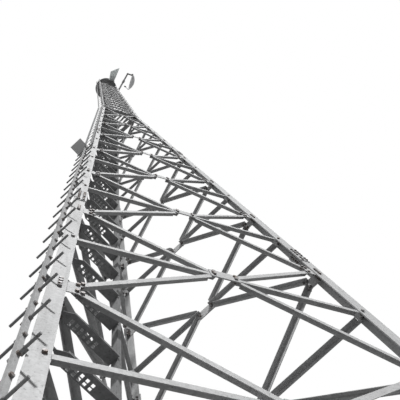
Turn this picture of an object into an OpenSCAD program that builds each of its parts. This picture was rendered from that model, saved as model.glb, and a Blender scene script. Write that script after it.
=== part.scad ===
// Self-supporting three-legged radio tower of bolted steel angles, in millimetres.
// Legs A, B and C stand on the corners of an equal-sided triangle. Leg A carries the climbing rail.
// The origin is the middle of the underside of foot plate A, +X runs along face AB, +Z is up.

/* [Tower] */
// Width of a face at the ground, between the outer corners of two legs
base_w = 4380; // [3650:10:5250]
// Width of a face at the knee, where the strong taper ends
knee_w = 1340; // [1120:10:1600]
// Width of a face at the top
top_w = 960; // [800:10:1150]
// Height of the lowest panel of bracing
foot_panel_h = 4200; // [3500:10:5040]
// Height of every other panel up to the knee
panel_h = 2800; // [2400:10:3360]
// Height of a panel over the knee
top_panel_h = 900; // [750:10:1080]

/* [Members] */
// Flange width of the lower leg angles
leg_w = 150; // [130:1:180]
// Thickness of the lower leg angles
leg_t = 14; // [12:0.5:16]
// Flange width of the bracing angles of the lower faces
brace_w = 70; // [58:1:80]
// Thickness of the bracing angles of the lower faces
brace_t = 7; // [6:0.5:8]

/* [Feet] */
// Side of a square foot plate
foot_w = 520; // [470:5:620]
// Thickness of a foot plate
foot_t = 30; // [25:1:36]
// Distance between neighbouring anchor holes
anchor_pitch = 360; // [320:5:400]
// Diameter of an anchor hole
anchor_d = 34; // [28:1:40]

/* [Climbing] */
// Distance between one step and the next, on alternate sides
step_pitch = 280; // [240:5:330]
// Length of a step peg beyond the rail
step_len = 180; // [150:1:216]
// Diameter of a step peg
step_d = 22; // [18:1:26]
// Height of the small platform at which the step pegs end
platform_z = 15000; // [12600:50:17500]
// Side of that platform
platform_w = 250; // [210:5:300]

/* [Cable ladders] */
// Width of the cable ladder outside leg A
cable_ladder_w = 210; // [180:5:250]
// Reach of the rungs of the ladder inside leg A
inner_ladder_w = 740; // [620:10:860]
// Width of such a rung
inner_rung_w = 110; // [95:1:116]

/* [Antennas] */
// Diameter of the dish
dish_d = 820; // [690:10:980]
// Diameter of the mouth of the horn antenna
horn_d = 400; // [340:5:480]
// Length of the horn antenna
horn_len = 640; // [540:10:760]
// Diameter of the dish's arm
arm_d = 76; // [64:1:90]

/* [Hidden] */

galvanised = [0.72, 0.73, 0.74];
weathered = [0.60, 0.61, 0.62];
radome = [0.76, 0.79, 0.83];
dish_grey = [0.52, 0.54, 0.55];

// Running clearance between two bolted faces, and how far fused pieces run into each other.
seat = 0.2;
fuse = 0.5;
root3 = sqrt(3);

// Azimuths of the three legs, and of the outward side of the three faces.
LEG_A = 210;
LEG_B = 330;
LEG_C = 90;
FACE_AB = 270;
FACE_BC = 30;
FACE_CA = 150;

// Heights. The tapered shaft has the foot panel and eight more, the straight head has fourteen.
shaft_panels = 9;
head_panels = 14;
first_brace_z = 320;
knee_z = foot_panel_h + (shaft_panels - 1) * panel_h;
top_z = knee_z + head_panels * top_panel_h;
lower_joint_z = level(3) + 600;
joint_z = level(6) + 600;
knee_ring_t = 24;
shaft_end_z = knee_z - knee_ring_t / 2 - seat;
head_start_z = knee_z + knee_ring_t / 2 + seat;

// [flange width, flange thickness] of the legs, and [width, thickness] of the bracing, going up.
LOWER_LEG = [leg_w, leg_t];
UPPER_LEG = [leg_w * 0.87, leg_t];
TOP_LEG = [leg_w * 0.6, leg_t * 0.65];
LOWER_BRACE = [brace_w, brace_t];
MIDDLE_BRACE = [brace_w * 0.93, brace_t * 0.86];
UPPER_BRACE = [brace_w * 0.8, brace_t * 0.86];
TOP_BRACE = [brace_w * 0.65, brace_t * 0.7];

// Slopes: a shaft or head section is [height of its foot, its leg's lean, its face's lean].
function width(z) = z <= knee_z
    ? base_w + (knee_w - base_w) * z / knee_z
    : knee_w + (top_w - knee_w) * (z - knee_z) / (top_z - knee_z);
function level(i) = i == 0 ? first_brace_z : foot_panel_h + (i - 1) * panel_h;
function head_level(i) = knee_z + i * top_panel_h;
SHAFT = [0, atan((base_w - knee_w) / root3 / knee_z), atan((base_w - knee_w) / root3 / 2 / knee_z)];
HEAD = [knee_z, atan((knee_w - top_w) / root3 / (top_z - knee_z)),
        atan((knee_w - top_w) / root3 / 2 / (top_z - knee_z))];
function lean_of_leg(section) = section[1];
function lean_of_face(section) = section[2];

// The inner angle between two faces, which a leg's flanges follow.
function leg_angle(section) = acos(0.5 * pow(cos(lean_of_face(section)), 2)
    - pow(sin(lean_of_face(section)), 2));

// Leg A's foot plate is at the origin, so the tower's axis stands off it.
foot_in = leg_w / 2;
axis_r = base_w / root3 - foot_in;

module on_axis() translate([axis_r * cos(30), axis_r * sin(30), 0]) children();

// Draws in a face's own plane: x along the face, y up its slope, z outwards.
module on_face(azimuth, section) {
    z0 = section[0];
    rotate([0, 0, azimuth]) translate([width(z0) / root3 / 2, 0, z0])
        rotate([0, -lean_of_face(section), 0]) rotate([90, 0, 90]) children();
}
function face_y(z, section) = (z - section[0]) / cos(lean_of_face(section));
function face_z(y, section) = section[0] + y * cos(lean_of_face(section));

// Draws beside a leg's outer corner: x outwards, y round the tower, z up the leg.
module on_leg(azimuth, section) {
    z0 = section[0];
    rotate([0, 0, azimuth]) translate([width(z0) / root3, 0, z0])
        rotate([0, -lean_of_leg(section), 0]) children();
}
function along_leg(z, section) = (z - section[0]) / cos(lean_of_leg(section));

// ---------------------------------------------------------------- legs and feet

// Section of a leg: two flanges bent to the angle between the faces, with the corner outwards.
module leg_section(size, section) {
    half = leg_angle(section) / 2;
    b = size[0];
    t = size[1];
    function at(s, d, side) = [-s * cos(half) - d * sin(half), side * (s * sin(half) - d * cos(half))];
    polygon([[0, 0], at(b, 0, 1), at(b, t, 1), [-t / sin(half), 0], at(b, t, -1), at(b, 0, -1)]);
}

// One length of leg, cut level at both ends.
module leg_length(azimuth, size, section, z1, z2) {
    spare = size[0];
    color(galvanised) on_axis() intersection() {
        on_leg(azimuth, section) translate([0, 0, along_leg(z1, section) - spare])
            linear_extrude(along_leg(z2, section) - along_leg(z1, section) + 2 * spare)
                leg_section(size, section);
        translate([-base_w, -base_w, z1]) cube([2 * base_w, 2 * base_w, z2 - z1]);
    }
}

module foot(azimuth) {
    stiffener_h = foot_w * 0.42;
    stiffener_l = foot_w * 0.22;
    stiffener_t = foot_t * 0.5;
    color(weathered) on_axis() {
        difference() {
            rotate([0, 0, azimuth]) translate([axis_r - foot_w / 2, -foot_w / 2, 0])
                cube([foot_w, foot_w, foot_t]);
            for (x = [-1, 1], y = [-1, 1])
                rotate([0, 0, azimuth])
                    translate([axis_r + x * anchor_pitch / 2, y * anchor_pitch / 2, -1])
                        cylinder(d = anchor_d, h = foot_t + 2, $fn = 32);
        }
        // A stiffener stands square to the middle of each flange.
        for (side = [-1, 1])
            on_face(azimuth + side * 60, SHAFT)
                translate([-side * (width(0) / 2 - leg_w * 0.5), foot_t - 4, seat])
                    rotate([0, -90, 0]) linear_extrude(stiffener_t, center = true)
                        polygon([[0, 0], [stiffener_l, 0], [stiffener_l, 40],
                                 [20, stiffener_h], [0, stiffener_h]]);
    }
}

// Cover plates over the butt joints of the legs, one on the outside of each flange.
module splice_pair(azimuth, section, z, size) {
    h = size[0] * 3.6;
    corner_gap = 12;
    for (side = [-1, 1])
        on_face(azimuth + side * 60, section)
            translate([0, face_y(z, section) - h / 2, seat])
                rotate([0, 0, -side * lean_in_face(section)])
                    translate([side < 0 ? width(z) / 2 - size[0] : corner_gap - width(z) / 2, 0, 0])
                        cube([size[0] - corner_gap, h, 10]);
}
function lean_in_face(section) = atan((section[0] == 0 ? (base_w - knee_w) / knee_z
    : (knee_w - top_w) / (top_z - knee_z)) / 2 * cos(lean_of_face(section)));

module splice_plates() {
    color(galvanised) on_axis()
        for (azimuth = [LEG_A, LEG_B, LEG_C]) {
            splice_pair(azimuth, SHAFT, joint_z, UPPER_LEG);
            splice_pair(azimuth, SHAFT, lower_joint_z, LOWER_LEG);
        }
}

// Level ring between the shaft's legs and the head's legs, at the knee.
module knee_ring() {
    r = knee_w / root3 + 20;
    depth = 120;
    color(galvanised) on_axis() rotate([0, 0, LEG_C]) translate([0, 0, knee_z - knee_ring_t / 2])
        linear_extrude(knee_ring_t) difference() {
            circle(r = r, $fn = 3);
            circle(r = r - 2 * depth, $fn = 3);
        }
}

// ---------------------------------------------------------------- face bracing

// An angle in a face plane from p to q: its flat flange as an outline, and its inward flange,
// which stops short of both ends by the two cut lengths.
module along(p, q) {
    d = q - p;
    translate(p) rotate(atan2(d[1], d[0])) children();
}
module flat_outline(p, q, size) along(p, q) translate([0, -size[0] / 2]) square([norm(q - p), size[0]]);
module inward_flange(p, q, size, cut_p, cut_q, top) {
    b = size[0];
    t = size[1];
    along([p[0], p[1], -b], [q[0], q[1], -b])
        translate([cut_p, top > 0 ? b / 2 - t : -b / 2, 0])
            cube([norm(q - p) - cut_p - cut_q, t, b - t + fuse]);
}

// Distances from a leg's corner at which the flat flanges, and the inward flanges, of two
// neighbouring faces clear each other.
function flat_clear(leg, brace) = (leg[1] + seat + brace[1]) / tan(30) + 7;
function deep_clear(leg, brace) = (leg[1] + seat + brace[0]) / tan(30) + 12;

// Corners of a panel's bracing: [half width low, height low, half width high, height high].
function panel_ends(section, z1, z2, leg, brace) = let (
    gap = brace[0] * 0.85,
    end_in = leg[0] + brace[0]
) [
    width(z1 + gap) / 2 - end_in, face_y(z1 + gap, section),
    width(z2 - gap) / 2 - end_in, face_y(z2 - gap, section)
];
// Height in the face at which a panel's diagonals cross.
function crossing_y(e) = e[1] + (e[3] - e[1]) * e[0] / (e[0] + e[2]);

// Upright gusset plates at both ends of a panel, from behind the legs' flanges to the diagonals.
module gussets(section, z1, z2, leg, brace) {
    h = brace[0] * 1.7;
    far = leg[0] + brace[0] * 1.5;
    for (z = [z1 + plate_gap(z1), z2 - plate_gap(z2) - h]) let (
        half = width(z + h) / 2,
        y = [face_y(z, section), face_y(z + h, section)]
    )
        for (side = [-1, 1])
            polygon([[side * (half - flat_clear(leg, brace)), y[0]], [side * (half - far), y[0]],
                     [side * (half - far), y[1]], [side * (half - flat_clear(leg, brace)), y[1]]]);
}
function plate_gap(z) = z == knee_z ? knee_ring_t / 2 + seat : 1;

// One panel of a face: four half diagonals and two half horizontals, on gussets beside the legs
// and on a plate in the middle.
module panel(section, z1, z2, leg, brace) {
    b = brace[0];
    flange = leg[1] + seat;
    e = panel_ends(section, z1, z2, leg, brace);
    yc = crossing_y(e);
    xc = b * 1.4;
    xh = width(face_z(yc, section)) / 2 - flat_clear(leg, brace);
    plate = [b * 4.6, b * 3];
    end_cut = 5;
    middle_cut = b * 1.1;
    level_cut = section[0] == 0 ? end_cut : -xc * 0.85;
    side_cut = deep_clear(leg, brace) - flat_clear(leg, brace);
    // Each bar is [end beside the leg, end in the middle, which way its inward flange turns].
    bars = [for (side = [-1, 1]) each [
        [[side * e[0], e[1]], [side * xc, yc - b * 0.3], -side],
        [[side * e[2], e[3]], [side * xc, yc + b * 0.3], -side],
        [[side * xh, yc], [side * xc * 0.9, yc], -side]
    ]];
    translate([0, 0, -flange - brace[1]]) linear_extrude(brace[1]) {
        for (bar = bars) flat_outline(bar[0], bar[1], brace);
        gussets(section, z1, z2, leg, brace);
    }
    translate([0, 0, -flange]) for (bar = bars)
        inward_flange(bar[0], bar[1], brace,
            bar[0][1] == yc ? side_cut : end_cut, bar[0][1] == yc ? level_cut : middle_cut, bar[2]);
    translate([-plate[0] / 2, yc - plate[1] / 2, -flange - fuse])
        cube([plate[0], plate[1], leg[1] + fuse - 1]);
}

module face(azimuth, section, levels, leg, brace) {
    color(galvanised) on_axis() on_face(azimuth, section)
        for (i = [0 : len(levels) - 2]) panel(section, levels[i], levels[i + 1], leg, brace);
}

LOWER_LEVELS = [for (i = [0 : 3]) level(i)];
MIDDLE_LEVELS = [for (i = [3 : 6]) level(i)];
UPPER_LEVELS = [for (i = [6 : 9]) level(i)];
TOP_LEVELS = [for (i = [0 : head_panels]) head_level(i)];

// ---------------------------------------------------------------- climbing rail

rail_w = 55;
rail_d = 32;
rail_wall = 5;
rail_gap = 45;
rail_z1 = 2500;
rail_z2 = platform_z - seat;

module climbing_rail() {
    len = rail_z2 - rail_z1;
    color(galvanised) on_axis() on_leg(LEG_A, SHAFT) translate([rail_gap, 0, rail_z1])
        linear_extrude(len) difference() {
            translate([0, -rail_w / 2]) square([rail_d, rail_w]);
            translate([rail_wall, -rail_w / 2 + rail_wall]) square([rail_d, rail_w - 2 * rail_wall]);
        }
}

module rail_brackets() {
    bracket = [rail_gap - 2 * seat, 60, 8];
    color(weathered) on_axis() on_leg(LEG_A, SHAFT)
        for (z = [rail_z1 + 300 : panel_h / 2 : rail_z2 - bracket[2]])
            translate([seat, -bracket[1] / 2, z]) cube(bracket);
}

module step_pegs() {
    first_z = rail_z1 + 150;
    steps = floor((platform_z - 250 - first_z) / step_pitch);
    color(galvanised) on_axis() on_leg(LEG_A, SHAFT)
        for (i = [0 : steps]) let (side = i % 2 == 0 ? 1 : -1)
            translate([rail_gap + rail_d / 2, side * (rail_w / 2 + seat), first_z + i * step_pitch])
                rotate([-side * 90, 0, 0]) cylinder(d = step_d, h = step_len, $fn = 12);
}

module rest_platform() {
    color(weathered) on_axis() on_leg(LEG_A, SHAFT)
        translate([seat, rail_w / 2 - platform_w, platform_z]) cube([platform_w, platform_w, 6]);
}

// ---------------------------------------------------------------- cable ladders

// Ladder inside leg A: perforated level channels, each bolted to the inner corner of the leg by a
// lug at its pointed end, and to an upright channel at the other end. The point follows the room
// that the bracing of the two faces leaves.
inner_rung_pitch = panel_h / 4;
inner_rung_wall = 5;
inner_rung_h = 34;
inner_hole = 25;
inner_holes = 6;
inner_rail = [40, 70];
function room_at(half) = (half + (leg_t + seat + brace_w) / cos(30) + 3) / tan(30);

module inner_rung() {
    wall = inner_rung_wall;
    half = inner_rung_w / 2;
    full = room_at(half);
    tip = room_at(wall);
    corner = leg_t / sin(30) + wall / tan(30) + seat;
    linear_extrude(wall) difference() {
        polygon([[-tip, wall], [-full, half], [-inner_ladder_w, half],
                 [-inner_ladder_w, -half], [-full, -half], [-tip, -wall]]);
        for (i = [0 : inner_holes - 1], y = [-0.4, -0.1])
            translate([-full - (2 * i + 1.5) * inner_hole, inner_rung_w * y]) square(inner_hole);
    }
    for (y = [-half, half - wall])
        translate([-inner_ladder_w, y, 0]) cube([inner_ladder_w - full, wall, inner_rung_h]);
    translate([-tip - 20, -wall, 0]) cube([tip + 20 - corner, 2 * wall, inner_rung_h]);
}
inner_ladder_z1 = foot_panel_h - panel_h / 2;
inner_ladder_z2 = knee_z - 250;
module inner_ladder_rungs() {
    color(weathered) on_axis() on_leg(LEG_A, SHAFT)
        for (z = [inner_ladder_z1 + inner_rung_pitch / 2 : inner_rung_pitch : inner_ladder_z2])
            translate([0, 0, along_leg(z, SHAFT)]) inner_rung();
}
module inner_ladder_rail() {
    wall = inner_rung_wall;
    color(weathered) on_axis() on_leg(LEG_A, SHAFT)
        translate([-inner_ladder_w - seat, -inner_rail[1] / 2, along_leg(inner_ladder_z1, SHAFT)])
            linear_extrude(inner_ladder_z2 - inner_ladder_z1) difference() {
                translate([-inner_rail[0], 0]) square(inner_rail);
                translate([-inner_rail[0] - wall, wall])
                    square([inner_rail[0], inner_rail[1] - 2 * wall]);
            }
}

// Ladder outside leg A, over the small platform: two uprights with level rungs, on lugs from the leg.
module cable_ladder(section, z1, z2) {
    upright = [40, 12];
    rung = [30, 6];
    rung_in = 5;
    lug_w = 24;
    gap = 15;
    out_y = 95;
    len = along_leg(z2, section) - along_leg(z1, section);
    pitch = panel_h / 4;
    color(weathered) on_axis() on_leg(LEG_A, section) translate([0, 0, along_leg(z1, section)]) {
        for (y = [out_y - upright[1], out_y - cable_ladder_w])
            translate([gap, y, 0]) cube([upright[0], upright[1], len]);
        for (z = [pitch / 2 : pitch : len - rung[0]])
            translate([gap + rung_in, out_y - cable_ladder_w + rung_in, z])
                cube([rung[1], cable_ladder_w - 2 * rung_in, rung[0]]);
        for (z = [pitch / 2 : pitch : len - rung[0]])
            translate([seat, -lug_w / 2, z]) cube([gap + rung_in + fuse, lug_w, rung[0]]);
    }
}

// ---------------------------------------------------------------- head

platform_over = 0.98;
platform_t = 12;
module head_platform() {
    color(weathered) on_axis() translate([0, 0, top_z])
        cylinder(r = top_w / root3 * platform_over, h = platform_t, $fn = 48);
}

// The horn stands out past face AB, on a plate that hangs from the rim of the platform.
horn_at = [top_w * 0.146, -top_w * 0.5375, top_z - 250];
horn_neck_d = horn_d * 0.66;
horn_mouth_d = horn_d * 1.08;
horn_wall = 6;
horn_plate = [horn_neck_d + 40, 12, 480];
horn_skew = -39;
module horn_mount() {
    color(weathered) on_axis()
        translate([horn_at[0] - horn_plate[0] / 2, horn_at[1], top_z - seat - horn_plate[2]])
            cube(horn_plate);
}
// A cone on its side, whose mouth is cut off at a slant.
module horn_cone(inset) {
    cylinder(d1 = horn_neck_d - 2 * inset, d2 = horn_mouth_d - 2 * inset, h = horn_len * 1.2, $fn = 40);
}
module horn() {
    floor_t = 10;
    color(radome) on_axis() translate([horn_at[0], horn_at[1] - seat, horn_at[2]])
        rotate([90, 0, 0]) difference() {
            horn_cone(0);
            translate([0, 0, floor_t]) horn_cone(horn_wall);
            translate([0, 0, horn_len * 0.85]) rotate([0, horn_skew, 0])
                translate([-horn_len, -horn_len, 0]) cube([2 * horn_len, 2 * horn_len, horn_len]);
        }
}

// The dish's arm: a tube from leg B, out past face AB and then along it, with a clamp midway and a
// block at its end that carries the dish's rim.
arm_z = top_z - 1600;
arm_bracket = [60, 110, 220];
arm_foot = [width(arm_z - arm_bracket[2] / 2) / 2 + seat, -width(arm_z) / root3 / 2];
arm_bend = arm_foot + [215, -856];
dish_rim_x = arm_bend[0] + 260;
dish_y = arm_bend[1] + dish_d / 2 - 75;
arm_block = [50, 120, 120];
arm_clamp = [150, 110, 110];
function heading(p, q) = atan2(q[1] - p[1], q[0] - p[0]);
module arm_tube(p, q) {
    translate(p) rotate([0, 0, heading(p, q)]) rotate([0, 90, 0])
        cylinder(d = arm_d, h = norm(q - p), $fn = 24);
}
module dish_arm() {
    block = [dish_rim_x - seat - arm_block[0], dish_y - dish_d / 2, -arm_block[2] / 2];
    middle = (arm_foot + arm_bend) / 2;
    color(weathered) on_axis() translate([0, 0, arm_z]) {
        translate([arm_foot[0], arm_foot[1] - arm_bracket[1] / 2, -arm_bracket[2] / 2]) cube(arm_bracket);
        arm_tube(arm_foot + [arm_bracket[0] / 2, 0], arm_bend);
        translate(middle + [20, 0]) rotate([0, 0, heading(arm_foot, arm_bend)])
            cube(arm_clamp, center = true);
        translate(arm_bend) cylinder(d = arm_d * 1.1, h = arm_d * 1.1, center = true, $fn = 24);
        arm_tube(arm_bend, [dish_rim_x - arm_block[0] / 2, arm_bend[1]]);
        translate(block) cube(arm_block);
    }
}

// A shallow shell with its hollow side towards the tower's axis.
dish_depth = 180;
dish_wall = 12;
module dish() {
    outer = (pow(dish_d / 2, 2) + pow(dish_depth, 2)) / 2 / dish_depth;
    rim = outer - dish_depth;
    steps = 6;
    function arc(r) = let (half = acos(rim / r)) [
        for (i = [1 : steps]) [r * sin(half * i / steps), r * cos(half * i / steps) - rim]];
    back = arc(outer);
    front = arc(outer - dish_wall);
    color(dish_grey) on_axis() translate([dish_rim_x, dish_y, arm_z]) rotate([0, 90, 0])
        rotate_extrude($fn = 60) polygon([
            [0, back[0][1]], for (p = back) p,
            for (i = [steps - 1 : -1 : 0]) front[i], [0, front[0][1]]
        ]);
}
// The feed stands in front of the dish, on a strut from its rim.
module dish_feed() {
    block = 34;
    feed_d = 70;
    rim = [dish_rim_x - seat - block / 2, dish_y + dish_d / 2 - block / 2];
    tip = rim + [-200, -90];
    color(weathered) on_axis() translate([0, 0, arm_z]) {
        translate(rim) cube(block, center = true);
        translate(rim) rotate([0, 0, heading(rim, tip)]) rotate([0, 90, 0])
            cylinder(d = 24, h = norm(tip - rim), $fn = 12);
        translate([tip[0] - feed_d / 2, tip[1], 0]) rotate([0, 90, 0])
            cylinder(d = feed_d, h = feed_d * 1.4, $fn = 24);
    }
}

foot(LEG_A);  // foot_a
foot(LEG_B);  // foot_b
foot(LEG_C);  // foot_c
leg_length(LEG_A, LOWER_LEG, SHAFT, foot_t + seat, joint_z);  // leg_a_lower
leg_length(LEG_B, LOWER_LEG, SHAFT, foot_t + seat, joint_z);  // leg_b_lower
leg_length(LEG_C, LOWER_LEG, SHAFT, foot_t + seat, joint_z);  // leg_c_lower
leg_length(LEG_A, UPPER_LEG, SHAFT, joint_z + seat, shaft_end_z);  // leg_a_upper
leg_length(LEG_B, UPPER_LEG, SHAFT, joint_z + seat, shaft_end_z);  // leg_b_upper
leg_length(LEG_C, UPPER_LEG, SHAFT, joint_z + seat, shaft_end_z);  // leg_c_upper
leg_length(LEG_A, TOP_LEG, HEAD, head_start_z, top_z - seat);  // leg_a_top
leg_length(LEG_B, TOP_LEG, HEAD, head_start_z, top_z - seat);  // leg_b_top
leg_length(LEG_C, TOP_LEG, HEAD, head_start_z, top_z - seat);  // leg_c_top
splice_plates();
knee_ring();
face(FACE_AB, SHAFT, LOWER_LEVELS, LOWER_LEG, LOWER_BRACE);  // face_ab_lower
face(FACE_BC, SHAFT, LOWER_LEVELS, LOWER_LEG, LOWER_BRACE);  // face_bc_lower
face(FACE_CA, SHAFT, LOWER_LEVELS, LOWER_LEG, LOWER_BRACE);  // face_ca_lower
face(FACE_AB, SHAFT, MIDDLE_LEVELS, LOWER_LEG, MIDDLE_BRACE);  // face_ab_middle
face(FACE_BC, SHAFT, MIDDLE_LEVELS, LOWER_LEG, MIDDLE_BRACE);  // face_bc_middle
face(FACE_CA, SHAFT, MIDDLE_LEVELS, LOWER_LEG, MIDDLE_BRACE);  // face_ca_middle
face(FACE_AB, SHAFT, UPPER_LEVELS, UPPER_LEG, UPPER_BRACE);  // face_ab_upper
face(FACE_BC, SHAFT, UPPER_LEVELS, UPPER_LEG, UPPER_BRACE);  // face_bc_upper
face(FACE_CA, SHAFT, UPPER_LEVELS, UPPER_LEG, UPPER_BRACE);  // face_ca_upper
face(FACE_AB, HEAD, TOP_LEVELS, TOP_LEG, TOP_BRACE);  // face_ab_top
face(FACE_BC, HEAD, TOP_LEVELS, TOP_LEG, TOP_BRACE);  // face_bc_top
face(FACE_CA, HEAD, TOP_LEVELS, TOP_LEG, TOP_BRACE);  // face_ca_top
climbing_rail();
rail_brackets();
step_pegs();
rest_platform();
inner_ladder_rail();
inner_ladder_rungs();
cable_ladder(SHAFT, platform_z + 250, knee_z - 250);  // cable_ladder_shaft
cable_ladder(HEAD, knee_z + 100, top_z - 60);  // cable_ladder_head
head_platform();
horn_mount();
horn();
dish_arm();
dish();
dish_feed();
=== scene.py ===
# %% [markdown]
# # A self-supporting radio tower
# A tower of this kind is bolted together from galvanised steel angles: three legs, a lattice on
# each face between them, and a straight head that carries the antennas. The CAD model already has
# every one of those pieces in its true size and place. This lesson adds what makes it look real:
# the bolts of the lattice, the splices and the feet, and the finish of the metal.

import math

import bpy
from mathutils import Matrix, Vector


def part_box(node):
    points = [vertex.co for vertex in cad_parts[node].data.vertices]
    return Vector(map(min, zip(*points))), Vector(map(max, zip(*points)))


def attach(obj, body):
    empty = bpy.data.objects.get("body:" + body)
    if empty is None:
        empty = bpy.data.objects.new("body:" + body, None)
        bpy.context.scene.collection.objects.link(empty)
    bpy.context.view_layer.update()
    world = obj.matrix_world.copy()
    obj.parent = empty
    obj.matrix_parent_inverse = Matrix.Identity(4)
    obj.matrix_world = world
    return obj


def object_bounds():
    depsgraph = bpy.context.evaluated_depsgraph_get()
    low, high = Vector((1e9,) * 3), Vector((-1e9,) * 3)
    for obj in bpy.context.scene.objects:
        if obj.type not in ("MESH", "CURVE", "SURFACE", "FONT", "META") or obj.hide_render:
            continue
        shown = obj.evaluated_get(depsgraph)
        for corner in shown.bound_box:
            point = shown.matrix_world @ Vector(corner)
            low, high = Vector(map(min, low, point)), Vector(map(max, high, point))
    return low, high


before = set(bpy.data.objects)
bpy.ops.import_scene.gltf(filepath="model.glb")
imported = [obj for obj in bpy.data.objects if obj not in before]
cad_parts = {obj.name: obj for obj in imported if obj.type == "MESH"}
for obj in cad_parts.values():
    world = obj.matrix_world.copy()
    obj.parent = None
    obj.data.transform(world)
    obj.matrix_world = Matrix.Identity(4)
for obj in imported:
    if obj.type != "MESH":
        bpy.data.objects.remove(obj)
cad_box = [list(corner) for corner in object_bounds()]
print("CAD nodes:", len(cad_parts), "box:", [[round(v, 3) for v in c] for c in cad_box])

# %% [markdown]
# ## The tower's own rules
# All bolts sit where two bars cross, so their places follow from a few sizes: how wide the tower
# is at each height, and how far the faces and legs lean. The heights and the axis are measured
# on the CAD pieces themselves. Working from rules, instead of from a list of places, keeps each
# bolt on its bar.

# %% Heights, widths and the axis
ROOT3 = math.sqrt(3)
BASE_W, KNEE_W, TOP_W = 4.38, 1.34, 0.96
LEG_AZIMUTHS = {"a": 210, "b": 330, "c": 90}
FACE_AZIMUTHS = {"ab": 270, "bc": 30, "ca": 150}


def middle(node):
    low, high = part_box(node)
    return (Vector(low) + Vector(high)) / 2


KNEE_Z = middle("knee_ring").z
TOP_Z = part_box("head_platform")[0][2]
AXIS = Matrix.Translation((middle("head_platform").x, middle("head_platform").y, 0))
FOOT_PANEL, SHAFT_PANELS, HEAD_PANELS = 4.2, 9, 14
PANEL = (KNEE_Z - FOOT_PANEL) / (SHAFT_PANELS - 1)
HEAD_PANEL = (TOP_Z - KNEE_Z) / HEAD_PANELS
SHAFT_LEVELS = [0.32] + [FOOT_PANEL + i * PANEL for i in range(SHAFT_PANELS)]
HEAD_LEVELS = [KNEE_Z + i * HEAD_PANEL for i in range(HEAD_PANELS + 1)]


def width(z):
    if z <= KNEE_Z:
        return BASE_W + (KNEE_W - BASE_W) * z / KNEE_Z
    return KNEE_W + (TOP_W - KNEE_W) * (z - KNEE_Z) / (TOP_Z - KNEE_Z)


print("knee at", round(KNEE_Z, 3), "top at", round(TOP_Z, 3))
print("panels of", round(PANEL, 3), "and", round(HEAD_PANEL, 3))

# %% Flat working planes on the faces and legs
class Section:
    """The tapered shaft or the straight head: where it starts and how much its sides lean."""

    def __init__(self, z0, z1, leg, brace):
        narrowing = (width(z0) - width(z1)) / (z1 - z0)
        self.z0 = z0
        self.leg_w, self.leg_t = leg
        self.brace_w, self.brace_t = brace
        self.leg_lean = math.atan(narrowing / ROOT3)
        self.face_lean = math.atan(narrowing / ROOT3 / 2)
        self.lean_in_face = math.atan(narrowing / 2 * math.cos(self.face_lean))

    def face(self, azimuth):
        """x runs along the face, y up its slope and z outwards."""
        turn = Matrix.Rotation(math.radians(azimuth), 4, "Z")
        out = Matrix.Translation((width(self.z0) / ROOT3 / 2, 0, self.z0))
        stand = Matrix.Rotation(math.pi / 2, 4, "Z") @ Matrix.Rotation(math.pi / 2, 4, "X")
        return AXIS @ turn @ out @ Matrix.Rotation(-self.face_lean, 4, "Y") @ stand

    def leg(self, azimuth):
        """x runs outwards from a leg's corner, y round the tower and z up the leg."""
        turn = Matrix.Rotation(math.radians(azimuth), 4, "Z")
        out = Matrix.Translation((width(self.z0) / ROOT3, 0, self.z0))
        return AXIS @ turn @ out @ Matrix.Rotation(-self.leg_lean, 4, "Y")

    def up_face(self, z):
        return (z - self.z0) / math.cos(self.face_lean)

    def up_leg(self, z):
        return (z - self.z0) / math.cos(self.leg_lean)

    def height(self, y):
        return self.z0 + y * math.cos(self.face_lean)


LOWER = Section(0, KNEE_Z, (0.150, 0.014), (0.070, 0.007))
MIDDLE = Section(0, KNEE_Z, (0.150, 0.014), (0.0651, 0.006))
UPPER = Section(0, KNEE_Z, (0.1305, 0.014), (0.056, 0.006))
HEAD = Section(KNEE_Z, TOP_Z, (0.090, 0.0091), (0.0455, 0.0049))
PANELS = [(LOWER if i < 3 else MIDDLE if i < 6 else UPPER, SHAFT_LEVELS[i], SHAFT_LEVELS[i + 1])
          for i in range(SHAFT_PANELS)]
PANELS += [(HEAD, HEAD_LEVELS[i], HEAD_LEVELS[i + 1]) for i in range(HEAD_PANELS)]
corner = HEAD.leg(LEG_AZIMUTHS["a"]) @ Vector((0, 0, HEAD.up_leg(TOP_Z)))

# %% [markdown]
# ## Finishes as node graphs
# Each finish is a small graph of shader nodes. Maths on single numbers reads best as a Python
# expression, so one class wraps a socket and turns +, - and * into Math nodes. Every other node
# comes from one method, which takes the node's type, its settings and its sockets. Colours are
# mixed in Mix nodes, because a Math node would turn them grey.

# %% A socket that can be used in an expression
class Socket:
    def __init__(self, paint, socket):
        self.paint, self.socket = paint, socket

    def maths(self, operation, first, second=None):
        values = {0: first} if second is None else {0: first, 1: second}
        return self.paint.node("ShaderNodeMath", {"operation": operation}, values)

    def __add__(self, other):
        return self.maths("ADD", self, other)

    def __radd__(self, other):
        return self.maths("ADD", other, self)

    def __sub__(self, other):
        return self.maths("SUBTRACT", self, other)

    def __rsub__(self, other):
        return self.maths("SUBTRACT", other, self)

    def __mul__(self, other):
        return self.maths("MULTIPLY", self, other)

    def __rmul__(self, other):
        return self.maths("MULTIPLY", other, self)


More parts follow.
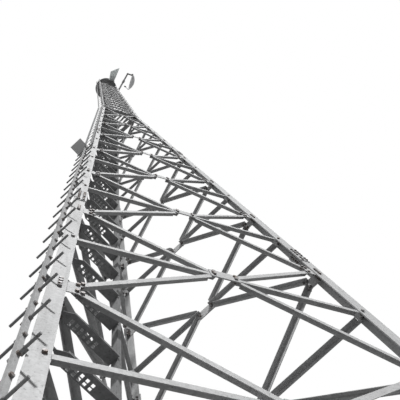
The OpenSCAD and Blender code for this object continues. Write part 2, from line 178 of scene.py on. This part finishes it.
# %% One finish, and the method that adds its nodes
class Finish:
    def __init__(self, name, tree=None):
        if tree is None:
            self.material = bpy.data.materials.new(name)
            self.material.use_nodes = True
            tree = self.material.node_tree
        self.tree = tree
        self.tree.nodes.clear()

    def node(self, kind, settings=None, sockets=None, out=0):
        made = self.tree.nodes.new(kind)
        for key, value in (settings or {}).items():
            if key == "stops":
                ramp = made.color_ramp
                while len(ramp.elements) < len(value):
                    ramp.elements.new(1.0)
                for element, (place, shade) in zip(ramp.elements, value):
                    element.position = place
                    element.color = (shade, shade, shade, 1)
            else:
                setattr(made, key, value)
        for key, value in (sockets or {}).items():
            if isinstance(value, Socket):
                self.tree.links.new(value.socket, made.inputs[key])
            else:
                made.inputs[key].default_value = value
        return Socket(self, made.outputs[out]) if len(made.outputs) else None

    def places(self, stretch=(1, 1, 1)):
        """Object coordinates in metres, squeezed or stretched along the axes."""
        here = self.node("ShaderNodeTexCoord", out=3)
        return self.node("ShaderNodeMapping", {}, {"Vector": here, "Scale": stretch})

    def noise(self, scale, detail=3.0, stretch=(1, 1, 1), roughness=0.55):
        return self.node("ShaderNodeTexNoise", {}, {"Vector": self.places(stretch), "Scale": scale,
                                                    "Detail": detail, "Roughness": roughness})

    def ramp(self, value, *stops):
        return self.node("ShaderNodeValToRGB", {"stops": stops}, {0: value})

    def mix(self, amount, first, second, blend="MIX"):
        colour = [value if isinstance(value, Socket) else (*value, 1) for value in (first, second)]
        return self.node("ShaderNodeMix", {"data_type": "RGBA", "blend_type": blend},
                         {0: amount, 6: colour[0], 7: colour[1]}, out=2)

    def bump(self, height, depth, strength=1.0):
        return self.node("ShaderNodeBump", {}, {"Height": height, "Distance": depth, "Strength": strength})

    def surface(self, shine_through=None, **sockets):
        """shine_through is the share and the colour of the light that passes a thin shell."""
        names = {key.replace("_", " "): value for key, value in sockets.items()}
        shader = self.node("ShaderNodeBsdfPrincipled", {}, names)
        if shine_through:
            share, tint = shine_through
            thin = self.node("ShaderNodeBsdfTranslucent", {}, {"Color": (*tint, 1)})
            shader = self.node("ShaderNodeMixShader", {}, {0: share, 1: shader, 2: thin})
        self.node("ShaderNodeOutputMaterial", {}, {"Surface": shader})
        return self.material


print("finishes are made of Finish.node calls")

# %% [markdown]
# ## Galvanised steel
# Hot-dip zinc freezes in crystals a few centimetres across, the spangle. Years of rain then wash
# streaks down it and dull it in clouds, and dirt gathers in spots. Each bar came from another
# bath, so the clouds are as long as a bar. The spangle is a Voronoi pattern, the streaks are
# noise stretched along the height, and the clouds are slow noise.

# %% Galvanised steel
def galvanised(name, light, dark, grime, wear=0.5):
    finish = Finish(name)
    spangle = finish.node("ShaderNodeTexVoronoi", {"feature": "F1"},
                          {"Vector": finish.places(), "Scale": 38.0, "Randomness": 1.0}, out=1)
    crystals = finish.node("ShaderNodeSeparateColor", {}, {0: spangle})
    clouds = finish.noise(0.9, 4.0)
    streaks = finish.noise(14.0, 5.0, (1, 1, 0.09), 0.65)
    spots = finish.noise(55.0, 4.0, (1, 1, 1), 0.7)
    shade = clouds * 0.9 + streaks * 0.45 + crystals * 0.22 - 0.42
    metal = finish.mix(shade, dark, light)
    washed = finish.ramp(streaks + clouds * 0.5, (0.62, 0.0), (0.98, 1.0))
    spotted = finish.ramp(spots + clouds * 0.2, (0.66, 0.0), (0.78, 1.0))
    stained = finish.mix(washed * 0.55 * wear, metal, grime)
    colour = finish.mix(spotted * wear, stained, tuple(channel * 0.7 for channel in grime))
    rough = 0.5 + crystals * 0.08 + washed * 0.2 + spotted * 0.15
    height = crystals * 0.3 + spots * 0.7
    return finish.surface(Base_Color=colour, Metallic=0.1, Specular_IOR_Level=0.12, Roughness=rough,
                          Normal=finish.bump(height, 0.0006, 0.6))


steel = galvanised("galvanised_steel", (0.65, 0.653, 0.656), (0.29, 0.292, 0.294), (0.14, 0.137, 0.134))
# A darker copy of the galvanised steel: partly dull weathered zinc, and partly painted shade for undersides
# that are seen from below.
dull_and_shaded_steel = galvanised("dull_and_shaded_steel", (0.42, 0.423, 0.426), (0.19, 0.192, 0.195), (0.10, 0.098, 0.095), 0.7)
# A darker copy of the galvanised steel for the pieces inside the tower: its darker tones are painted shade,
# and its heavier stains (wear 0.7) are weathering.
shaded_inner_steel = galvanised("shaded_inner_ladder_steel", (0.34, 0.343, 0.346), (0.14, 0.142, 0.144),
                         (0.07, 0.068, 0.066), 0.7)
# A paler copy of the galvanised steel for the rest platform, whose underside is seen in shade: the paler
# tone is painted light.
brightened_plate_steel = galvanised("brightened_plate_steel", (0.80, 0.803, 0.806), (0.55, 0.553, 0.556), (0.28, 0.275, 0.27), 0.4)
print("steel finishes:", steel.name, dull_and_shaded_steel.name, shaded_inner_steel.name)

# %% [markdown]
# ## Bolts and antennas
# Bolts lose their zinc first, so they are dark and a little brown. The horn has a pale plastic
# shell with rain marks. The shell is thin enough for daylight to shine through, which mixes a
# translucent shader in. The dish is painted a light grey that has dulled.

# %% Bolt steel
def bolt_steel():
    finish = Finish("bolt_steel")
    patches = finish.noise(24.0, 4.0)
    grains = finish.noise(260.0, 3.0)
    rusty = finish.ramp(patches + grains * 0.3, (0.58, 0.0), (0.80, 1.0))
    clean = finish.mix(grains, (0.13, 0.13, 0.135), (0.27, 0.27, 0.275))
    colour = finish.mix(rusty * 0.6, clean, (0.16, 0.105, 0.07))
    return finish.surface(Base_Color=colour, Metallic=0.6, Roughness=0.45 + rusty * 0.35,
                          Normal=finish.bump(grains, 0.0005, 0.5))


bolts_finish = bolt_steel()

# %% Paint on the horn and the dish
def weathered_paint(name, clean, worn, grime, roughness, shine_through=None):
    finish = Finish(name)
    clouds = finish.noise(3.5, 4.0)
    rain = finish.noise(22.0, 5.0, (1, 1, 0.08), 0.6)
    specks = finish.noise(150.0, 3.0)
    base = finish.mix(finish.ramp(clouds, (0.30, 0.0), (0.75, 1.0)), clean, worn)
    marks = finish.ramp(rain + clouds * 0.3, (0.62, 0.0), (0.92, 1.0))
    dots = finish.ramp(specks + rain * 0.2, (0.72, 0.0), (0.80, 1.0))
    colour = finish.mix(marks * 0.5 + dots * 0.4, base, grime)
    return finish.surface(shine_through, Base_Color=colour, Roughness=roughness + marks * 0.2,
                          Normal=finish.bump(specks * 0.5 + rain * 0.5, 0.0004, 0.4))


radome = weathered_paint("radome_shell", (0.80, 0.825, 0.82), (0.66, 0.69, 0.685), (0.36, 0.375, 0.37), 0.45,
                         (0.3, (0.76, 0.79, 0.785)))
dish_paint = weathered_paint("dish_paint", (0.80, 0.805, 0.81), (0.66, 0.665, 0.67), (0.30, 0.30, 0.30), 0.5)
print("more finishes:", bolts_finish.name, radome.name, dish_paint.name)

# %% Each CAD piece gets its finish
# The rest platform gets the paler steel, which is painted light on its shaded underside.
FINISHES = {"horn": radome, "dish": dish_paint, "rest_platform": brightened_plate_steel}
# The pieces named here get the darker steel, which is partly weathering and partly painted shade.
DULL_AND_SHADED = ("foot_", "cable_ladder", "step_pegs", "rail_brackets", "head_platform", "horn_mount", "knee_ring")
for name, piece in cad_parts.items():
    finish = FINISHES.get(name)
    if finish is None:
        finish = shaded_inner_steel if name.startswith("inner_") else dull_and_shaded_steel if name.startswith(DULL_AND_SHADED) else steel
    for slot in piece.material_slots:
        slot.material = finish
print("finished", len(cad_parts), "CAD pieces")

# %% [markdown]
# ## Bolts by Geometry Nodes
# More than a thousand bolts of five sizes hold the tower together. Each is a hexagon head on a
# washer outside, and a nut with the end of the thread inside. Modelled once and placed on points
# by Geometry Nodes, they cost one small tree: the points carry the direction that each bolt
# faces, and a seeded random turn keeps the hexagons from lining up like a machine's.

# %% A Geometry Nodes tree with named inputs
class Tree:
    def __init__(self, name, **inputs):
        self.group = bpy.data.node_groups.new(name, "GeometryNodeTree")
        self.group.interface.new_socket("Points", in_out="INPUT", socket_type="NodeSocketGeometry")
        for key, (kind, default) in inputs.items():
            made = self.group.interface.new_socket(key, in_out="INPUT", socket_type="NodeSocket" + kind)
            if default is not None:
                made.default_value = default
        self.group.interface.new_socket("Mesh", in_out="OUTPUT", socket_type="NodeSocketGeometry")
        self.inputs = self.group.nodes.new("NodeGroupInput")
        self.output = self.group.nodes.new("NodeGroupOutput")

    def __getitem__(self, name):
        return self.inputs.outputs[name]

    def node(self, kind, settings=None, sockets=None, out=0):
        made = self.group.nodes.new(kind)
        for key, value in (settings or {}).items():
            setattr(made, key, value)
        for key, value in (sockets or {}).items():
            for part in value if isinstance(value, list) else [value]:
                if isinstance(part, bpy.types.NodeSocket):
                    self.group.links.new(part, made.inputs[key])
                else:
                    made.inputs[key].default_value = part
        return made.outputs[out] if len(made.outputs) else None

    def maths(self, operation, first, second):
        return self.node("ShaderNodeMath", {"operation": operation}, {0: first, 1: second})

    def finish(self, geometry):
        real = self.node("GeometryNodeRealizeInstances", {}, {0: geometry})
        painted = self.node("GeometryNodeSetMaterial", {}, {"Geometry": real, "Material": self["Material"]})
        self.group.links.new(painted, self.output.inputs[0])
        return self.group


# %% The bolt tree
def bolt_tree():
    tree = Tree("bolts_on_points", Thread=("Float", 0.020), Grip=("Float", 0.021), Seed=("Int", 7),
                Material=("Material", None))
    thread, grip = tree["Thread"], tree["Grip"]
    washer_t = tree.maths("MULTIPLY", thread, 0.16)

    def prism(sides, radius, depth, middle_z):
        depth = tree.maths("MULTIPLY", thread, depth)
        body = tree.node("GeometryNodeMeshCylinder", {}, {
            "Vertices": sides, "Radius": tree.maths("MULTIPLY", thread, radius), "Depth": depth})
        return tree.node("GeometryNodeTransform", {}, {
            "Geometry": body, "Translation": tree.node("ShaderNodeCombineXYZ", {}, {"Z": middle_z(depth)})})

    def above(base):
        return lambda depth: tree.maths("ADD", base, tree.maths("MULTIPLY", depth, 0.5))

    def below(base):
        return lambda depth: tree.maths("SUBTRACT", base, tree.maths("MULTIPLY", depth, 0.5))

    back = tree.maths("MULTIPLY", grip, -1.0)
    bolt = tree.node("GeometryNodeJoinGeometry", {}, {0: [
        prism(10, 0.92, 0.16, above(0.0)), prism(6, 0.87, 0.65, above(washer_t)),
        prism(6, 0.87, 0.8, below(back)), prism(8, 0.5, 1.25, below(back))]})
    out = tree.node("GeometryNodeInputNamedAttribute", {"data_type": "FLOAT_VECTOR"}, {"Name": "out"})
    facing = tree.node("FunctionNodeAlignRotationToVector", {"axis": "Z"}, {"Vector": out})
    chance = tree.node("FunctionNodeRandomValue", {"data_type": "FLOAT"},
                       {2: 0.0, 3: 2 * math.pi, "Seed": tree["Seed"]}, out=1)
    turn = tree.node("FunctionNodeEulerToRotation", {}, {
        0: tree.node("ShaderNodeCombineXYZ", {}, {"Z": chance})})
    turned = tree.node("FunctionNodeRotateRotation", {"rotation_space": "LOCAL"}, {0: facing, 1: turn})
    return tree.finish(tree.node("GeometryNodeInstanceOnPoints", {}, {
        "Points": tree["Points"], "Instance": bolt, "Rotation": turned}))


BOLTS = bolt_tree()
print("bolt tree:", len(BOLTS.nodes), "nodes")

# %% Grow a tree on points and keep the plain mesh
def grow(name, group, points, slot, **inputs):
    """points are pairs of a place and the direction it faces."""
    mesh = bpy.data.meshes.new(name + "_points")
    mesh.from_pydata([tuple(place) for place, _ in points], [], [])
    mesh.attributes.new("out", "FLOAT_VECTOR", "POINT").data.foreach_set(
        "vector", [value for _, direction in points for value in direction])
    seedling = bpy.data.objects.new(name + "_seedling", mesh)
    bpy.context.scene.collection.objects.link(seedling)
    modifier = seedling.modifiers.new("grow", "NODES")
    modifier.node_group = group
    identifiers = {item.name: item.identifier for item in group.interface.items_tree
                   if item.in_out == "INPUT"}
    for key, value in inputs.items():
        modifier[identifiers[key]] = value
    plain = bpy.data.meshes.new_from_object(seedling.evaluated_get(bpy.context.evaluated_depsgraph_get()))
    seedling.modifiers.remove(modifier)
    bpy.data.objects.remove(seedling)
    piece = bpy.data.objects.new(name, plain)
    plain.name = name
    bpy.context.scene.collection.objects.link(piece)
    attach(piece, "root")
    triangles = sum(len(polygon.vertices) - 2 for polygon in plain.polygons)
    print(name, "on", len(points), "points:", triangles, "triangles")
    return piece


def directed(frame_matrix, places):
    """Pairs for grow() from places in a working plane, facing along its z."""
    out = (frame_matrix.to_3x3() @ Vector((0, 0, 1))).normalized()
    return [(frame_matrix @ Vector(place), out) for place in places]


# %% [markdown]
# ## Where the lattice is bolted
# In each panel the four half diagonals and two half horizontals meet under a plate in the
# middle, with one bolt through each bar, so three at each end of the plate. The diagonals end on
# gusset plates, which are bolted behind the leg's flange, and the horizontals end behind it.

# %% Bolts of one panel
SEAT = 0.0002
GAUGE_LINE = 0.62


def panel_bolts(section, z1, z2):
    """Places of the bolts in the middle plate, in the bars' ends and in the leg's flange."""
    b, t, leg = section.brace_w, section.brace_t, section.leg_t + SEAT
    flat_clear = (leg + t) / math.tan(math.pi / 6) + 0.007
    end_in, gap = section.leg_w + b, b * 0.85
    low = Vector((width(z1 + gap) / 2 - end_in, section.up_face(z1 + gap)))
    high = Vector((width(z2 - gap) / 2 - end_in, section.up_face(z2 - gap)))
    crossing = low.y + (high.y - low.y) * low.x / (low.x + high.x)
    level_end = Vector((width(section.height(crossing)) / 2 - flat_clear, crossing))
    plate, bars, flange = [], [], []
    for side in (-1, 1):
        for end, rise in ((low, -0.3), (high, 0.3), (level_end, 0)):
            inner = Vector((b * 1.4, crossing + b * rise))
            line = (inner - end).normalized()
            if rise:
                ends = (end + line * b * 0.3, end + line * b * 1.1)
                bars += [(side * place.x, place.y, -leg) for place in ends]
            else:
                place = end + line * section.leg_w * 0.4
                flange.append((side * place.x, place.y, 0.0))
            place = inner - line * b * 0.42
            plate.append((side * place.x, place.y, -0.0012))
        for z, up in ((z1, 1), (z2, -1)):
            for rise in (0.45, 1.25):
                height = z + up * b * rise
                across = width(height) / 2 - section.leg_w * GAUGE_LINE
                flange.append((side * across, section.up_face(height), 0.0))
    return plate, bars, flange


lattice = {(part, kind): [] for part in ("shaft", "head") for kind in ("plate", "bar", "flange")}
for azimuth in FACE_AZIMUTHS.values():
    for section, z1, z2 in PANELS:
        part = "head" if section is HEAD else "shaft"
        plane = section.face(azimuth)
        for kind, places in zip(("plate", "bar", "flange"), panel_bolts(section, z1, z2)):
            lattice[part, kind] += directed(plane, places)
print("lattice bolts:", {f"{part} {kind}": len(places) for (part, kind), places in lattice.items()})

# %% Grow the lattice's bolts
THREADS = {"shaft": 0.023, "head": 0.013}
GRIPS = {"shaft": {"plate": 0.020, "bar": 0.007, "flange": 0.022},
         "head": {"plate": 0.013, "bar": 0.005, "flange": 0.0142}}
for (part, kind), places in lattice.items():
    grow(f"{part}_{kind}_bolts", BOLTS, places, "weathered_steel", Thread=THREADS[part],
         Grip=GRIPS[part][kind], Seed=11, Material=bolts_finish)

# %% [markdown]
# ## Splices and feet
# A leg comes in lengths that butt together, with a cover plate outside each flange. Such a joint
# carries the whole leg's load, so it has two columns of bolts. The step pegs are long bolts too,
# each with a nut where it leaves the rail. The foot plates sit on anchor bolts whose nuts cover
# the holes that the CAD model already has.

# %% Splice bolts
COVER_FACE, COVER_LENGTH, JOINT_RISE = 0.0102, 3.6, 0.6
BOLT_ROWS, BOLT_COLUMNS = (0.08, 0.22, 0.45, 0.59, 0.73, 0.87), (0.30, 0.72)


def splice_bolts(section, z):
    """Two columns of bolts through each cover plate, which leans with its leg."""
    flange = section.leg_w
    places, height = [], flange * COVER_LENGTH
    for azimuth in LEG_AZIMUTHS.values():
        for side in (-1, 1):
            plate = (section.face(azimuth + side * 60)
                     @ Matrix.Translation((0, section.up_face(z) - height / 2, COVER_FACE))
                     @ Matrix.Rotation(-side * section.lean_in_face, 4, "Z"))
            for row in BOLT_ROWS:
                for column in BOLT_COLUMNS:
                    across = side * (flange * column - width(z) / 2)
                    places += directed(plate, [(across, row * height, 0)])
    return places


splices = splice_bolts(UPPER, SHAFT_LEVELS[6] + JOINT_RISE)
splices += splice_bolts(LOWER, SHAFT_LEVELS[3] + JOINT_RISE)
grow("splice_bolts", BOLTS, splices, "weathered_steel", Thread=0.020, Grip=0.025, Seed=12,
     Material=bolts_finish)

# %% Nuts of the step pegs
RAIL_GAP, RAIL_W, RAIL_D, RAIL_FOOT, STEP_PITCH = 0.045, 0.055, 0.032, 2.5, 0.28


def peg_places():
    """Each peg goes through the rail, with a head on the far side and a nut on its own side."""
    leg = LOWER.leg(LEG_AZIMUTHS["a"])
    first, last = RAIL_FOOT + 0.15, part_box("rest_platform")[0][2] - 0.25
    middle_x, side_y = RAIL_GAP + RAIL_D / 2, RAIL_W / 2 + SEAT
    places = []
    for step in range(int((last - first) / STEP_PITCH) + 1):
        side = 1 if step % 2 == 0 else -1
        spot = leg @ Vector((middle_x, -side * side_y, first + step * STEP_PITCH))
        places.append((spot, leg.to_3x3() @ Vector((0, -side, 0))))
    return places


grow("peg_nuts", BOLTS, peg_places(), "weathered_steel", Thread=0.021, Grip=RAIL_W + 2 * SEAT, Seed=14,
     Material=bolts_finish)

# %% Anchor nuts
FOOT_T, ANCHOR_REACH = 0.030, 0.18


def anchor_places():
    places = []
    for azimuth in LEG_AZIMUTHS.values():
        turn = AXIS @ Matrix.Rotation(math.radians(azimuth), 4, "Z")
        reach = BASE_W / ROOT3 - LOWER.leg_w / 2
        places += directed(turn, [(reach + x * ANCHOR_REACH, y * ANCHOR_REACH, FOOT_T)
                                  for x in (-1, 1) for y in (-1, 1)])
    return places


grow("anchor_nuts", BOLTS, anchor_places(), "weathered_steel", Thread=0.030, Grip=-0.034, Seed=13,
     Material=bolts_finish)

# %% [markdown]
# ## The camera
# Someone stands beside the foot of leg A and looks almost straight up. The eye is a little over
# one and a half metres above the ground, and the lens is a long normal one, so the tower runs
# together to a small head far above. The three rows of the turn are the camera's right, down and
# forward directions.

# %% Camera
def turn_about(vector):
    """The rotation about a vector by its length, in radians."""
    return Matrix.Rotation(vector.length, 3, vector.normalized())


eye = Vector((0.0531, -1.78154, 1.66625))
right, down, forward = turn_about(Vector((0.22152525, -0.19483503, 0.29414377)))
camera = bpy.data.objects.new("camera", bpy.data.cameras.new("camera"))
bpy.context.scene.collection.objects.link(camera)
camera.data.sensor_width = 36.0
camera.data.lens = 64.04
camera.data.clip_start, camera.data.clip_end = 0.05, 2000.0
camera.matrix_world = Matrix.Translation(eye) @ Matrix((right, -down, -forward)).transposed().to_4x4()
bpy.context.scene.camera = camera
print("the camera looks", round(math.degrees(math.asin(forward.z))), "degrees above level")

# %% [markdown]
# ## Floor, sky and lights
# A pale round floor carries the tower's shadow and fades into white far away, so that no horizon
# cuts through a low view. The floor is darker to bounced light than to the eye, as ground under
# a tower is, which keeps the undersides dark. The sky is an even soft grey that is white to the
# camera and in reflections. One soft sun from the front and above gives the flanges a bright and
# a dark side, and a faint broad one fills in beside it.

# %% Floor that fades into the sky
FLOOR_RADIUS, FADE_START, FADE_END = 600, 22.0, 90.0
BOUNCED, SEEN = (0.24, 0.24, 0.24), (0.86, 0.86, 0.86)


def floor_finish():
    finish = Finish("pale_floor")
    here = finish.node("ShaderNodeTexCoord", out=3)
    distance = finish.node("ShaderNodeVectorMath", {"operation": "LENGTH"}, {0: here}, out=1)
    far = finish.node("ShaderNodeMapRange", {}, {0: distance, 1: FADE_START, 2: FADE_END, 3: 0.0, 4: 1.0})
    seen = finish.node("ShaderNodeLightPath", out=0)
    shade = finish.mix(seen, BOUNCED, SEEN)
    pale = finish.node("ShaderNodeBsdfDiffuse", {}, {"Color": shade})
    white = finish.node("ShaderNodeEmission", {}, {"Color": (1, 1, 1, 1), "Strength": 1.0})
    finish.node("ShaderNodeOutputMaterial", {}, {"Surface": finish.node(
        "ShaderNodeMixShader", {}, {0: far * seen, 1: pale, 2: white})})
    return finish.material


floor_mesh = bpy.data.meshes.new("floor")
around = [(FLOOR_RADIUS * math.cos(math.radians(a)), FLOOR_RADIUS * math.sin(math.radians(a)), 0)
          for a in range(0, 360, 5)]
floor_mesh.from_pydata(around, [], [list(range(len(around)))])
floor_mesh.transform(AXIS @ Matrix.Translation((0, 0, cad_box[0][2] - 0.0005)))
floor = bpy.data.objects.new("floor", floor_mesh)
floor.data.materials.append(floor_finish())
bpy.context.scene.collection.objects.link(floor)

# %% Sky
world = bpy.data.worlds.new("studio")
bpy.context.scene.world = world
world.use_nodes = True
sky = Finish("studio", world.node_tree)
rays = [sky.node("ShaderNodeLightPath", out=index) for index in (0, 3, 6)]
to_eye = sky.node("ShaderNodeMath", {"operation": "ADD", "use_clamp": True},
                  {0: rays[0] + rays[1], 1: rays[2]})
soft = sky.node("ShaderNodeBackground", {}, {"Color": (0.97, 0.985, 1.0, 1), "Strength": 0.19})
white = sky.node("ShaderNodeBackground", {}, {"Color": (1, 1, 1, 1), "Strength": 1.0})
both = sky.node("ShaderNodeMixShader", {}, {0: to_eye, 1: soft, 2: white})
sky.node("ShaderNodeOutputWorld", {}, {"Surface": both})

# %% Lamps
def sun(name, azimuth, elevation, strength, spread):
    lamp = bpy.data.lights.new(name, "SUN")
    lamp.energy, lamp.angle = strength, math.radians(spread)
    holder = bpy.data.objects.new(name, lamp)
    a, e = math.radians(azimuth), math.radians(elevation)
    towards = Vector((math.cos(a) * math.cos(e), math.sin(a) * math.cos(e), math.sin(e)))
    holder.rotation_mode = "QUATERNION"
    holder.rotation_quaternion = towards.to_track_quat("Z", "Y")
    bpy.context.scene.collection.objects.link(holder)


sun("key", 259, 49, 4.5, 3)
sun("fill", 195, 20, 0.3, 40)
bpy.context.scene.view_settings.view_transform = "Standard"
